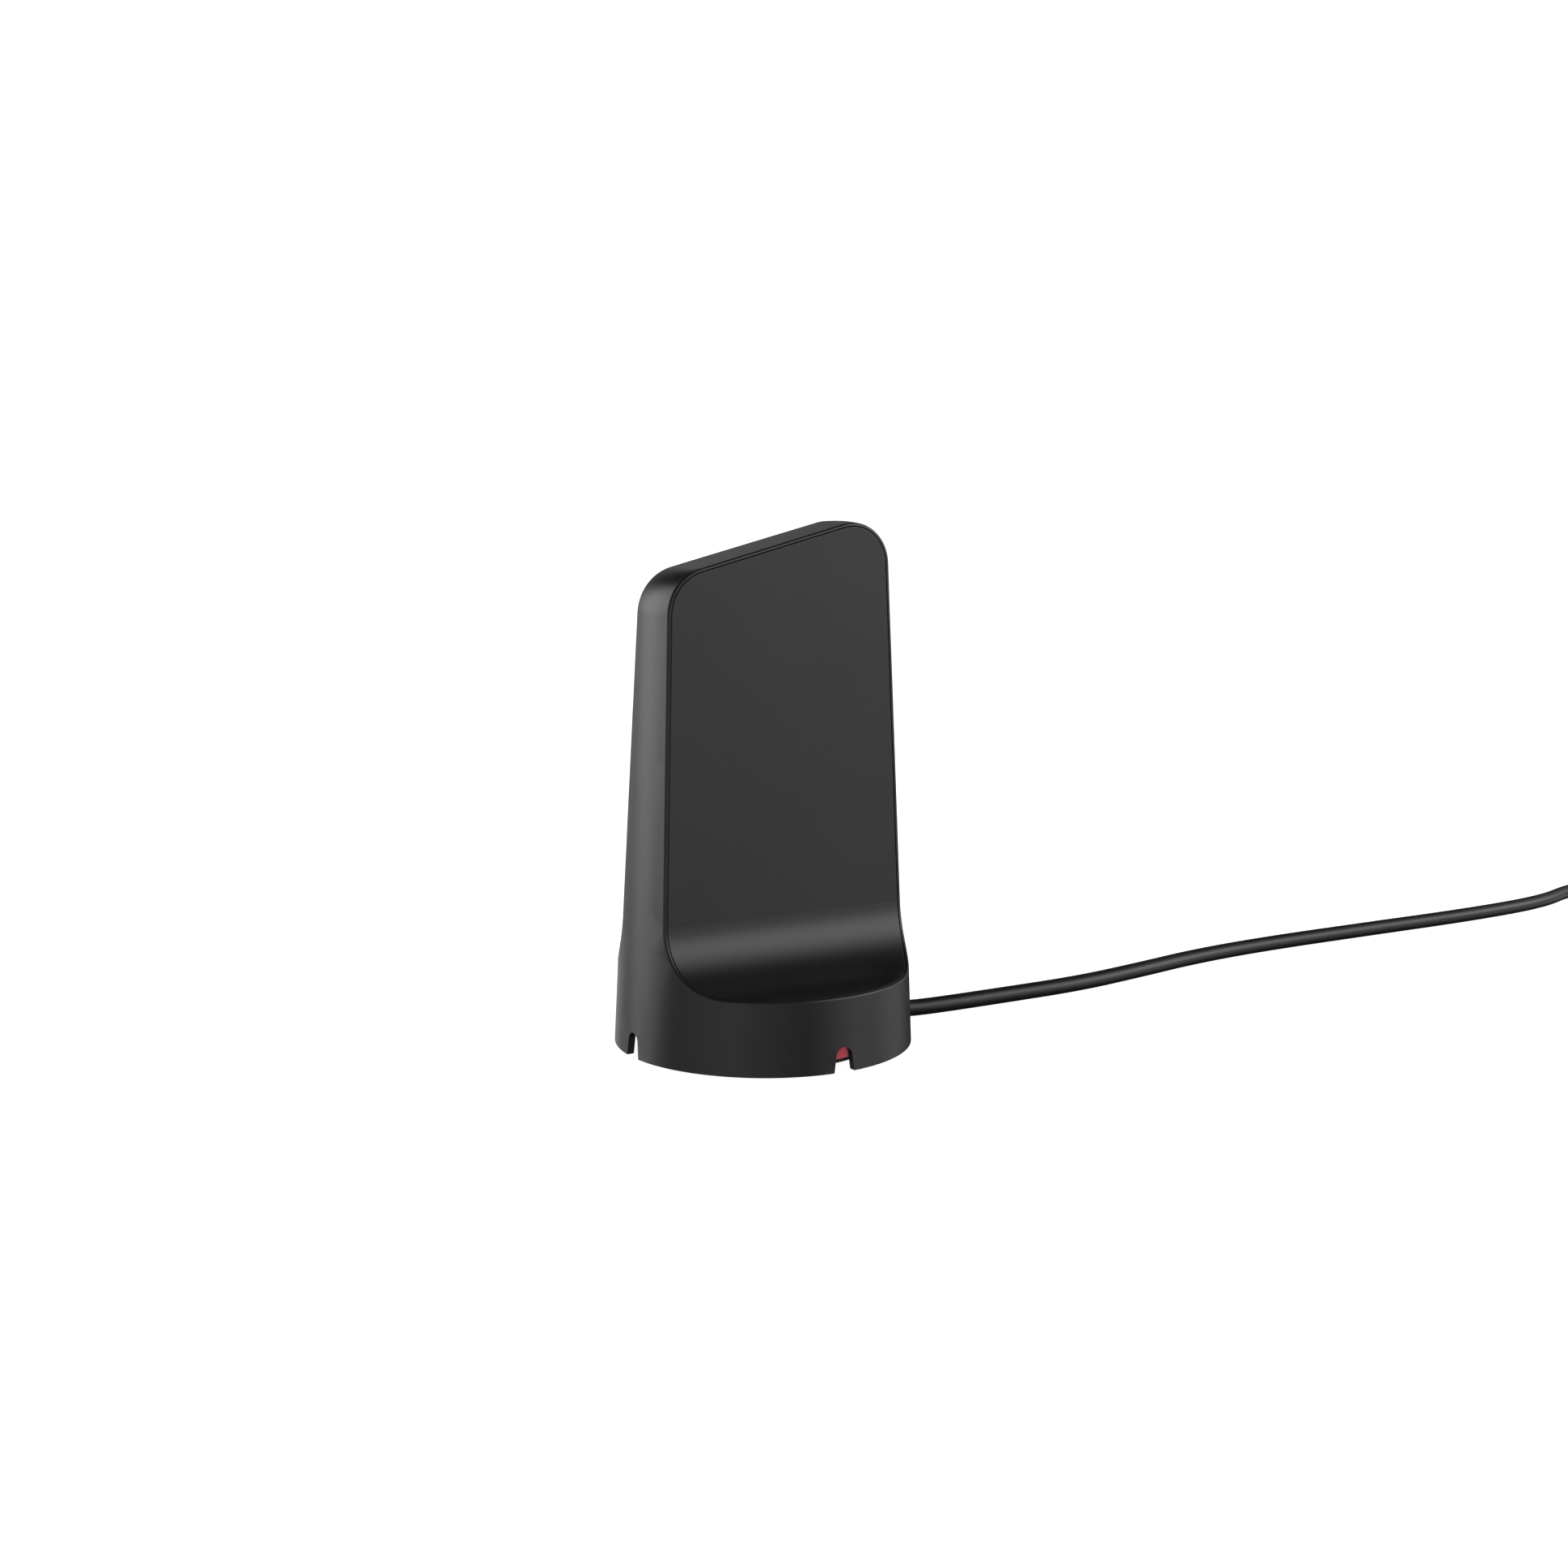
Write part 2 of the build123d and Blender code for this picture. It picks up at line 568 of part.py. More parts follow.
def make_bulk_capacitors():
    """Two cans that smooth the supply, each with a flat base."""
    cans = []
    foot_width, foot_height = CAN_FOOT
    for x, up in CAN_PLACES:
        can = rod(CAN_RADIUS, CAN_HEIGHT - foot_height, -CAN_HEIGHT)
        can = fillet(can.edges().sort_by(Axis.Z)[0], 0.5)
        foot = Pos(0, 0, -foot_height / 2) * Box(foot_width, foot_width, foot_height)
        cans.append(face_place(x, up, BOARD_BACK) * (can + foot))
    return cans


def make_inductor():
    width, height = INDUCTOR_SIZE
    body = on_board(*INDUCTOR_PLACE, width, width, height)
    return fillet(body.edges().filter_by(GeomType.LINE).sort_by(Axis.Y)[-4:], 0.4)


def make_lead_socket():
    """The open-topped socket that takes the input lead's plug, at the board's lower edge."""
    body = on_board(SOCKET_X, 37.2, 8.0, 5.0, 4.0)
    return body - face_place(SOCKET_X, 36.0, BOARD_BACK + 0.8) * Pos(0, 0, -1.3) * Box(6.0, 5.0, 2.6)


def make_lead_plug():
    return face_place(SOCKET_X, 36.1, BOARD_BACK + 0.85) * Pos(0, 0, -1.25) * Box(5.8, 4.6, 2.5)


def make_input_lead():
    """The thin sheathed lead from the cord's inner end up to its plug."""
    top = face_place(SOCKET_X, 33.8, BOARD_BACK + LEAD_PLUG_DEPTH).position
    below = face_place(SOCKET_X, 26.0, BOARD_BACK + LEAD_PLUG_DEPTH).position
    points = [(19.5, 0, CORD_EXIT_Z), (6.0, 0, CORD_EXIT_Z), (2.0, 0.6, 16.0)]
    points += [tuple(below), tuple(top)]
    return bent_rod(points, [5.0, 8.0, 5.0], INPUT_LEAD_DIAMETER)


def make_coil_leads():
    """From each coil's inner end, back through the stack to the board."""
    leads = []
    for name, up in COIL_HEIGHTS.items():
        hole_up = up - LEAD_OFFSET
        for x in (-WIRE_OFFSET, WIRE_OFFSET):
            start = face_place(x, hole_up, FERRITE_DEPTH - 0.6).position
            if name == "lower":
                end = face_place(x, hole_up, BOARD_DEPTH).position
                leads.append(bent_rod([tuple(start), tuple(end)], [], WIRE_DIAMETER))
            else:
                turn_depth = CARRIER_BACK + 1.2
                corner = face_place(x, hole_up, turn_depth).position
                end = face_place(x, BOARD_CENTRE + BOARD_HEIGHT / 2 - 3, turn_depth).position
                leads.append(bent_rod([tuple(start), tuple(corner), tuple(end)], [1.5], WIRE_DIAMETER))
    return leads


def make_thermistor():
    up = COIL_HEIGHTS["lower"]
    return face_place(0, up + 1.5, FERRITE_DEPTH) * (Pos(0, 0, 0.6) * Box(2.4, 3.6, 1.2))


# ---- Cord -------------------------------------------------------------------------------------------


def make_cord():
    return bent_rod(CORD_ROUTE, cord_radii(CORD_ROUTE), CORD_DIAMETER)


def make_tail():
    return bent_rod(TAIL_ROUTE, cord_radii(TAIL_ROUTE), CORD_DIAMETER)


def wound_ring(low):
    """The flat ring that the stored turns fill, from the given height up."""
    ring = rod(WOUND_OUTER_RADIUS, WOUND_HEIGHT - low, low) - rod(WOUND_INNER_RADIUS, WOUND_HEIGHT - low, low)
    return Pos(*COIL_CENTRE, 0) * chamfer(ring.edges().group_by(Axis.Z)[-1], 1.5)


def make_tie():
    """A soft strap all round the winding, pulled a little into its underside."""
    middle = (WOUND_OUTER_RADIUS + WOUND_INNER_RADIUS) / 2
    width = WOUND_OUTER_RADIUS - WOUND_INNER_RADIUS + 2 * TIE_THICKNESS
    low = (Align.CENTER, Align.CENTER, Align.MIN)
    block = Box(width, TIE_WIDTH, WOUND_HEIGHT + TIE_THICKNESS, align=low)
    block = fillet(block.edges().filter_by(Axis.Y).group_by(Axis.Z)[-1], 2.0)
    return Pos(COIL_CENTRE[0] + middle, COIL_CENTRE[1], 0) * block - wound_ring(TIE_THICKNESS)


def make_wound_cord():
    """The stored length: a flat ring of turns, with the straight length that leads into it."""
    start = CORD_ROUTE[-1]
    lead = Pos(*start) * Rot(0, 90, 0) * rod(CORD_RADIUS - 0.05, COIL_CENTRE[0] - start[0])
    tail = Pos(*TAIL_ROUTE[0]) * Rot(0, -90, 0) * rod(CORD_RADIUS + 0.02, REACH)
    return wound_ring(0) + lead - tail - make_tie()


# ---- Plug -------------------------------------------------------------------------------------------


def plug_place(x):
    """A place on the plug's axis, x behind its tail end, pointing away from the cord."""
    return Pos(x, PLUG_AXIS_Y, PLUG_AXIS_Z)


def make_plug_body():
    length, width, height = PLUG_BODY
    body_start = PLUG_TAIL_X - PLUG_RELIEF_LENGTH
    body = plug_place(body_start - length / 2) * Box(length, width, height)
    body = fillet(body.edges().filter_by(Axis.X), 2.2)
    body = fillet(body.faces().sort_by(Axis.X)[-1].edges(), 1.5)
    sleeve = Cone(
        CORD_RADIUS + 0.4,
        CORD_RADIUS + 1.3,
        PLUG_RELIEF_LENGTH + 0.5,
        align=(Align.CENTER, Align.CENTER, Align.MIN),
    )
    relief = plug_place(PLUG_TAIL_X) * Rot(0, -90, 0) * sleeve
    for step in range(3):
        ring = rod(REACH, 0.8) - rod(CORD_RADIUS + 0.4, 0.8)
        relief -= plug_place(PLUG_TAIL_X - 2 - 2.3 * step) * Rot(0, -90, 0) * ring
    return body + relief


def plug_face_x():
    """Where the plug's body ends and its shell starts."""
    return PLUG_TAIL_X - PLUG_RELIEF_LENGTH - PLUG_BODY[0]


def make_plug_shell():
    length, width, height = PLUG_SHELL
    middle = plug_place(plug_face_x() - length / 2)
    shell = fillet((middle * Box(length, width, height)).edges().filter_by(Axis.X), 0.5)
    inner = Box(length + 1, width - 2 * PLUG_SHELL_WALL, height - 2 * PLUG_SHELL_WALL)
    shell -= middle * inner
    for y in (-3.0, 3.0):
        shell -= plug_place(plug_face_x() - 5.0) * Pos(0, y, 0) * Box(2.2, 2.4, 2 * height)
    return shell


def make_plug_tongue():
    length, width, height = PLUG_SHELL
    thick = (height - 2 * PLUG_SHELL_WALL) / 2
    tongue = Box(length - 0.6, width - 2 * PLUG_SHELL_WALL, thick, align=(Align.MAX, Align.CENTER, Align.MAX))
    return plug_place(plug_face_x()) * tongue


def make_plug_contacts():
    """Four strips on the tongue, the outer two a little longer."""
    contacts = []
    for y, length in ((-3.5, 9.6), (-1.0, 8.6), (1.0, 8.6), (3.5, 9.6)):
        strip = Box(length, 1.0, 0.25, align=(Align.MAX, Align.CENTER, Align.MIN))
        contacts.append(plug_place(plug_face_x() - 0.4) * Pos(0, y, 0) * strip)
    return contacts


# ---- Fasteners --------------------------------------------------------------------------------------


def make_hub_screws():
    return [Pos(x, y, PILLAR_TOP_Z - 2.0) * Rot(180, 0, 0) * screw(HUB_SCREW) for x, y in base_screw_places()]


def make_carrier_screws():
    return [face_place(x, up, CARRIER_DEPTH) * screw(CARRIER_SCREW) for x, up in carrier_screw_places()]


def make_board_screws():
    upside_down = Rot(180, 0, 0) * screw(BOARD_SCREW)
    return [face_place(x, up, BOARD_BACK) * upside_down for x, up in board_screw_places()]


def make_clamp_screws():
    return [Pos(x, y, CORD_EXIT_Z + 4.2) * screw(CLAMP_SCREW) for x, y in clamp_boss_places()]


PARTS = {
    "housing": make_housing,
    "front_cover": make_front_cover,
    "cord_hub": make_hub,
    "rubber_foot": make_foot,
    "ballast_weight": make_ballast,
    "hub_screws": make_hub_screws,
    "coil_carrier": make_carrier,
    "carrier_screws": make_carrier_screws,
    "upper_coil": lambda: make_coil(COIL_HEIGHTS["upper"]),
    "lower_coil": lambda: make_coil(COIL_HEIGHTS["lower"]),
    "upper_ferrite": lambda: make_ferrite(COIL_HEIGHTS["upper"]),
    "lower_ferrite": lambda: make_ferrite(COIL_HEIGHTS["lower"]),
    "heat_spreader": make_spreader,
    "coil_leads": make_coil_leads,
    "thermistor": make_thermistor,
    "main_board": make_board,
    "board_screws": make_board_screws,
    "control_chips": make_chips,
    "bridge_transistors": make_transistors,
    "tuning_capacitors": make_capacitors,
    "supply_capacitors": make_bulk_capacitors,
    "supply_inductor": make_inductor,
    "lead_socket": make_lead_socket,
    "lead_plug": make_lead_plug,
    "input_lead": make_input_lead,
    "strain_relief": make_relief,
    "cord_clamp": make_clamp,
    "clamp_screws": make_clamp_screws,
    "cord": make_cord,
    "cord_winding": make_wound_cord,
    "cord_tie": make_tie,
    "cord_tail": make_tail,
    "plug_body": make_plug_body,
    "plug_shell": make_plug_shell,
    "plug_tongue": make_plug_tongue,
    "plug_contacts": make_plug_contacts,
}


def main():
    os.makedirs("parts", exist_ok=True)
    for name, make in PARTS.items():
        made = make()
        solids = made if isinstance(made, list) else [made]
        shape = Compound(children=[solid for part in solids for solid in part.solids()])
        export_step(shape, f"parts/{name}.step")
    for name, route in (("cord", CORD_ROUTE), ("cord_tail", TAIL_ROUTE)):
        print(name, "arc radii", [round(radius, 1) for radius in cord_radii(route)])


main()
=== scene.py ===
"""The looks of a desktop wireless charging stand with a cord-storage base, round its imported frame.

Metres, in the frame of the CAD model: +Z up, -Y the front, the origin on the floor under the drum's axis.
"""

import math

import bmesh
import bpy
from mathutils import Matrix, Vector


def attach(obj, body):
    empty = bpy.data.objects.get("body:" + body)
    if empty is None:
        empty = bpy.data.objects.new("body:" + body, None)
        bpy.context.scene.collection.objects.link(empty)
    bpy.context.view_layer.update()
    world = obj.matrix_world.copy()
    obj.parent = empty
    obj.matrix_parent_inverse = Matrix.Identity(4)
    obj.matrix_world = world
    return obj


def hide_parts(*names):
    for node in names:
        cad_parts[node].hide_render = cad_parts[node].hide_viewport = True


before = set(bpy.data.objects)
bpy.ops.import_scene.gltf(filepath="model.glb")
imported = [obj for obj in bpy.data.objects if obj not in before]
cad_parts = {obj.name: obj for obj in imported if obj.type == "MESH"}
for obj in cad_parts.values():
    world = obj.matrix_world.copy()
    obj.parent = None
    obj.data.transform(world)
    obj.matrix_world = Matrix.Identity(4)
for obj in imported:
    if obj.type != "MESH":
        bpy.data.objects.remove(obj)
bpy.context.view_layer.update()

# ---- Camera -----------------------------------------------------------------------------------------
CAMERA_PLACE = (-0.29938, -0.48801, 0.15521)
CAMERA_HEADING = math.radians(32.05)  # clockwise from +Y, seen from above
CAMERA_PITCH = math.radians(-8.49)
CAMERA_ROLL = math.radians(0.38)
CAMERA_LENS = 50
CAMERA_SENSOR = 36
CAMERA_CLIP_START = 0.01

# ---- Cord -------------------------------------------------------------------------------------------
CORD_DIAMETER = 0.0047
CORD_SPLINE_ORDER = 3
CORD_STEPS_PER_POINT = 10
CORD_ROUNDNESS = 6
CORD_ROUTE = [
    (0.0195, 0.0, 0.0054),
    (0.035, 0.0, 0.0054),
    (0.0445, -0.0001, 0.00238),
    (0.058, -0.0014, 0.00238),
    (0.076, -0.0016, 0.00238),
    (0.108, -0.0018, 0.00238),
    (0.136, 0.0025, 0.00238),
    (0.163, 0.0074, 0.00238),
    (0.195, 0.0094, 0.00238),
    (0.240, 0.0086, 0.00238),
    (0.288, 0.0073, 0.00238),
    (0.328, 0.0094, 0.00238),
    (0.354, 0.0185, 0.00238),
    (0.374, 0.0185, 0.00238),
]
TAIL_ROUTE = [
    (0.384, -0.04015, 0.0071),
    (0.371, -0.04015, 0.0070),
    (0.355, -0.0408, 0.0038),
    (0.339, -0.0408, 0.0038),
]
COIL_CENTRE = (0.402, -0.012)
TURN_RADII = (0.0305, 0.0258, 0.0211, 0.0164, 0.01875, 0.02345, 0.02815)  # four flat, three on top
FLAT_TURNS = 4
FLAT_HEIGHT = 0.00238
UPPER_HEIGHT = 0.00645
STEPS_PER_TURN = 16
CHANGE = (0.62, 0.86)  # the part of each turn in which the cord moves over to the next radius
CLIMB = (0.46, 0.70)  # the part of the last flat turn in which it climbs to the upper layer
CROSSING_RISE = 0.0006

# ---- Tie --------------------------------------------------------------------------------------------
TIE_PART = 0.25  # the tie stands a quarter of a turn on from the coil's +Y side
TIE_RISE = 0.0009  # how far the turns lift where the tie passes under them
TIE_RISE_EASE = (0.45, 0.95)  # cosines of the angles from the tie at which that lift starts and is full
TIE_WIDTH = 0.009
TIE_THICKNESS = 0.0008
TIE_SQUARENESS = 0.42  # 1 would be an ellipse round the turns, 0 a rectangle
TIE_STEPS = 96  # once round
TIE_LAP_STEPS = 16
TIE_LAP_EASE = (10, 1)  # steps before a full round at which the lap starts to rise and lies on the start
TIE_LAP_RISE = 1.05  # thicknesses
TIE_START = math.radians(70)
TIE_END_STEPS = 5  # the free end's last steps, which curl up a little and narrow
TIE_END_RISE = 0.0004
TIE_END_NARROWING = 0.5
TIE_BANDS = 8  # across the width
TIE_EDGE_THINNING = 0.35
TIE_EDGE_POWER = 8  # the higher, the nearer to its edges the strap starts to thin

# ---- Hub pieces that this script makes --------------------------------------------------------------
FOOT_RADIUS = 0.0305
FOOT_THICKNESS = 0.001
FOOT_ROUNDING = 0.0003
FOOT_ROUNDING_STEPS = 6
FOOT_MIDDLE = 0.0004  # radius of the flat caps at the foot's axis
GROOVE_RADII = (0.0275, 0.0255, 0.0235)
GROOVE_DEPTH = 0.00025
GROOVE_HALF_WIDTHS = (0.0005, 0.0003)  # at the underside and at the groove's bottom
RELIEF_AXIS_Z = 0.0054
RELIEF_CLEARANCE = 0.00003  # between the cord and the sleeve's bore
RELIEF_BODY = [  # radius, and distance from the drum's axis, over the inner flange, neck and outer flange
    (0.0034, 0.0271),
    (0.0037, 0.0274),
    (0.0037, 0.0284),
    (0.0032, 0.0284),
    (0.0032, 0.0301),
    (0.0037, 0.0301),
    (0.0037, 0.0313),
    (0.0035, 0.0315),
]
RIB_COUNT = 2
RIB_START = 0.0315
RIB_PITCH = 0.00115
RIB_RADIUS = 0.0034
RIB_TAPER = 0.00022  # each rib is this much smaller in radius than the one before
RIB_SHAPE = [  # depth under the rib's radius, and distance along the sleeve
    (0.0005, 0.00015),
    (0.0005, 0.00045),
    (0.0001, 0.0006),
    (0.0001, 0.00105),
]
RELIEF_TIP = (0.0028, 0.0339)
RELIEF_END = 0.034
RELIEF_STEPS = 64  # round its axis

# ---- Studio -----------------------------------------------------------------------------------------
ROOM_LIGHT = 0.01
GLOWS = [  # the way that each glow lies, its brightness, and how many degrees round it reaches
    ((-0.66, 0.72, 0.22), 3.1, 36),  # back left, for the slab's side
    ((0.50, 0.82, 0.25), 0.13, 30),  # behind, for the slanted top
    ((0.25, 0.95, -0.15), 0.7, 36),  # low behind, for the rear face
    ((0.52, -0.83, 0.14), 0.70, 38),  # front right, for the face
    ((0.54, -0.70, 0.42), 1.1, 24),  # above it, for the scoop
    ((0.53, -0.62, 0.52), 1.2, 30),  # higher, for the scoop too
    ((0.78, -0.30, 0.55), 0.4, 26),  # upper right, for the drum's upper edge
    ((0.86, -0.40, 0.30), 2.2, 19),  # right of the face, for the shelf's lip
    ((0.90, -0.42, -0.05), 0.52, 40),  # right, for the drum's right half
    ((0.98, 0.05, 0.15), 0.58, 35),  # far right, for the drum's right end
    ((-0.53, -0.85, -0.06), 0.44, 40),  # front left, for the drum's middle
    ((-0.95, -0.28, -0.05), 0.55, 38),  # left, for the drum's left end
]
FILLS = [  # softboxes that show in no gloss: name, place, size and power
    ("overhead_fill", (0.0, -0.4, 2.4), 2.0, 8),
    ("front_fill", (-0.75, -1.2, 0.22), 0.35, 10),
]
FILL_TARGET = (0, 0, 0.06)  # the middle of the stand
FLOOR_GLOW = 0.9
FLOOR_FLAT_RADII = (0.02, 0.5, 1.5)
FLOOR_RADIUS = 3.0
FLOOR_BEND = 1.5
FLOOR_BEND_STEPS = 16
FLOOR_WALL_TOP = 5.0
FLOOR_STEPS = 96  # round the middle

# ---- Finishes ---------------------------------------------------------------------------------------
NOISE_MIDDLE = (0.3, 0.7)  # the range that most of a noise texture's values lie in
RUBBER = ((0.010, 0.010, 0.010), (0.020, 0.020, 0.021), (0.62, 0.8), 3000, 0.000015)
PLAIN_FINISHES = {  # dark and light colour, range of roughness, scale of the grain and its depth
    "moulded_red": ((0.70, 0.085, 0.118), (0.76, 0.100, 0.138), (0.38, 0.5), 3600, 0.000008),
    "carrier_plastic": ((0.11, 0.11, 0.115), (0.15, 0.15, 0.155), (0.45, 0.6), 2800, 0.00001),
    "chip_mould": ((0.011, 0.011, 0.012), (0.022, 0.022, 0.024), (0.5, 0.7), 3800, 0.00001),
    "ceramic": ((0.42, 0.30, 0.19), (0.52, 0.38, 0.25), (0.3, 0.45), 3000, 0.000006),
    "connector_nylon": ((0.62, 0.58, 0.48), (0.72, 0.68, 0.58), (0.4, 0.55), 2400, 0.000008),
    "lead_sheath": ((0.012, 0.012, 0.012), (0.022, 0.022, 0.022), (0.45, 0.6), 2600, 0.00001),
    "wire_enamel": ((0.35, 0.03, 0.02), (0.48, 0.05, 0.03), (0.3, 0.42), 2600, 0.000006),
    "plug_mould": ((0.010, 0.010, 0.0105), (0.015, 0.015, 0.0155), (0.42, 0.55), 3400, 0.00001),
    "plug_insulator": ((0.68, 0.68, 0.66), (0.78, 0.78, 0.76), (0.35, 0.5), 2600, 0.000006),
    "foot_rubber": RUBBER,
    "relief_rubber": RUBBER,
}
METAL_FINISHES = {  # dark and light colour, range of roughness, and how its fine lines are squeezed
    "zinc_steel": ((0.40, 0.41, 0.42), (0.55, 0.56, 0.57), (0.25, 0.4), (1, 1, 1)),
    "cast_weight": ((0.16, 0.16, 0.17), (0.24, 0.24, 0.25), (0.45, 0.65), (1, 1, 1)),
    "rolled_aluminium": ((0.62, 0.63, 0.64), (0.75, 0.76, 0.77), (0.28, 0.42), (1, 1, 12)),
    "nickel_shell": ((0.55, 0.54, 0.52), (0.70, 0.69, 0.66), (0.18, 0.3), (12, 1, 1)),
    "gold_contact": ((0.75, 0.50, 0.18), (0.90, 0.64, 0.27), (0.18, 0.28), (1, 1, 1)),
}
PIECE_FINISHES = {
    "housing": "moulded_black",
    "front_cover": "moulded_black",
    "cord_hub": "moulded_red",
    "ballast_weight": "cast_weight",
    "hub_screws": "zinc_steel",
    "coil_carrier": "carrier_plastic",
    "carrier_screws": "zinc_steel",
    "upper_coil": "enamelled_copper",
    "lower_coil": "enamelled_copper",
    "upper_ferrite": "ferrite",
    "lower_ferrite": "ferrite",
    "heat_spreader": "rolled_aluminium",
    "coil_leads": "wire_enamel",
    "thermistor": "chip_mould",
    "main_board": "solder_mask",
    "board_screws": "zinc_steel",
    "control_chips": "chip_mould",
    "bridge_transistors": "chip_mould",
    "tuning_capacitors": "ceramic",
    "supply_capacitors": "rolled_aluminium",
    "supply_inductor": "ferrite",
    "lead_socket": "connector_nylon",
    "lead_plug": "connector_nylon",
    "input_lead": "lead_sheath",
    "cord_clamp": "carrier_plastic",
    "clamp_screws": "zinc_steel",
    "plug_body": "plug_mould",
    "plug_shell": "nickel_shell",
    "plug_tongue": "plug_insulator",
    "plug_contacts": "gold_contact",
    "supply_cord": "cord_jacket",
    "foot_pad": "foot_rubber",
    "cord_sleeve": "relief_rubber",
    "cord_strap": "strap_weave",
}


def smooth(value, low, high):
    """0 below low, 1 above high, and an even ease between them."""
    t = min(max((value - low) / (high - low), 0.0), 1.0)
    return t * t * (3 - 2 * t)


# ---- Making things ----------------------------------------------------------------------------------


def make_camera():
    data = bpy.data.cameras.new("camera")
    data.lens = CAMERA_LENS
    data.sensor_width = CAMERA_SENSOR
    data.clip_start = CAMERA_CLIP_START
    camera = bpy.data.objects.new("camera", data)
    bpy.context.scene.collection.objects.link(camera)
    heading = Matrix.Rotation(-CAMERA_HEADING, 4, "Z")
    pitch = Matrix.Rotation(math.pi / 2 + CAMERA_PITCH, 4, "X")
    roll = Matrix.Rotation(CAMERA_ROLL, 4, "Z")
    camera.matrix_world = Matrix.Translation(CAMERA_PLACE) @ heading @ pitch @ roll
    bpy.context.scene.camera = camera


def add_mesh(name, verts, faces):
    """A new smooth-shaded mesh object in the scene, with its faces all turned outwards."""
    data = bpy.data.meshes.new(name)
    data.from_pydata([tuple(v) for v in verts], [], faces)
    work = bmesh.new()
    work.from_mesh(data)
    bmesh.ops.recalc_face_normals(work, faces=work.faces)
    for face in work.faces:
        face.smooth = True
    work.to_mesh(data)
    work.free()
    piece = bpy.data.objects.new(name, data)
    bpy.context.scene.collection.objects.link(piece)
    return piece


def ring_points(profile, steps):
    """A ring of points round the Z axis for each (radius, height) of the profile."""
    points = []
    for radius, height in profile:
        for step in range(steps):
            angle = 2 * math.pi * step / steps
            points.append(Vector((radius * math.cos(angle), radius * math.sin(angle), height)))
    return points


def ring_faces(rows, steps, closed=False):
    """The faces from each ring of points to the next, and from the last to the first where closed."""
    faces = []
    for row in range(rows if closed else rows - 1):
        here = row * steps
        after = (row + 1) % rows * steps
        for step in range(steps):
            ahead = (step + 1) % steps
            faces.append((here + step, here + ahead, after + ahead, after + step))
    return faces


def lathe(name, profile, steps=128, place=Matrix.Identity(4), closed=False):
    """A turned piece: a profile of (radius, height) points round the local Z axis, then put in place.
    An open profile starts and ends beside the axis, with a flat cap; a closed one is a ring."""
    verts = [place @ point for point in ring_points(profile, steps)]
    faces = ring_faces(len(profile), steps, closed)
    if not closed:
        last = (len(profile) - 1) * steps
        faces.append(tuple(range(steps)))
        faces.append(tuple(range(last, last + steps)))
    return add_mesh(name, verts, faces)


def add_line(name, points, diameter):
    """A round cord along one smooth open spline whose control points these are."""
    data = bpy.data.curves.new(name, "CURVE")
    data.dimensions = "3D"
    spline = data.splines.new("NURBS")
    spline.points.add(len(points) - 1)
    for point, place in zip(spline.points, points):
        point.co = (*place, 1.0)
    spline.order_u = CORD_SPLINE_ORDER
    spline.use_endpoint_u = True
    spline.resolution_u = CORD_STEPS_PER_POINT
    data.bevel_depth = diameter / 2
    data.bevel_resolution = CORD_ROUNDNESS
    data.use_fill_caps = True
    piece = bpy.data.objects.new(name, data)
    bpy.context.scene.collection.objects.link(piece)
    return piece


# ---- Cord and what is on it -------------------------------------------------------------------------


def coil_points():
    """The coil's turns, clockwise from +Y: flat ones inwards, upper ones outwards, then half a turn."""
    shrink = math.cos(math.pi / STEPS_PER_TURN)  # the spline runs this much inside its control points
    heights = [FLAT_HEIGHT] * FLAT_TURNS + [UPPER_HEIGHT] * (len(TURN_RADII) - FLAT_TURNS)
    points = []
    for step in range(len(TURN_RADII) * STEPS_PER_TURN + STEPS_PER_TURN // 2):
        turn, part = divmod((step + 0.5) / STEPS_PER_TURN, 1)
        turn = int(turn)
        here = min(turn, len(TURN_RADII) - 1)
        after = min(turn + 1, len(TURN_RADII) - 1)
        moved = smooth(part, *CHANGE)
        radius = TURN_RADII[here] + (TURN_RADII[after] - TURN_RADII[here]) * moved
        climb = smooth(part, *CLIMB)
        height = heights[here] + (heights[after] - heights[here]) * climb
        if heights[after] == UPPER_HEIGHT:
            height += CROSSING_RISE * math.sin(math.pi * moved)
        beside_tie = max(0.0, math.cos(2 * math.pi * (part - TIE_PART)))
        height += TIE_RISE * smooth(beside_tie, *TIE_RISE_EASE)
        angle = 2 * math.pi * part
        x = COIL_CENTRE[0] + radius / shrink * math.sin(angle)
        y = COIL_CENTRE[1] + radius / shrink * math.cos(angle)
        points.append((x, y, height))
    return points


def make_cord():
    return add_line("supply_cord", CORD_ROUTE + coil_points() + TAIL_ROUTE, CORD_DIAMETER)


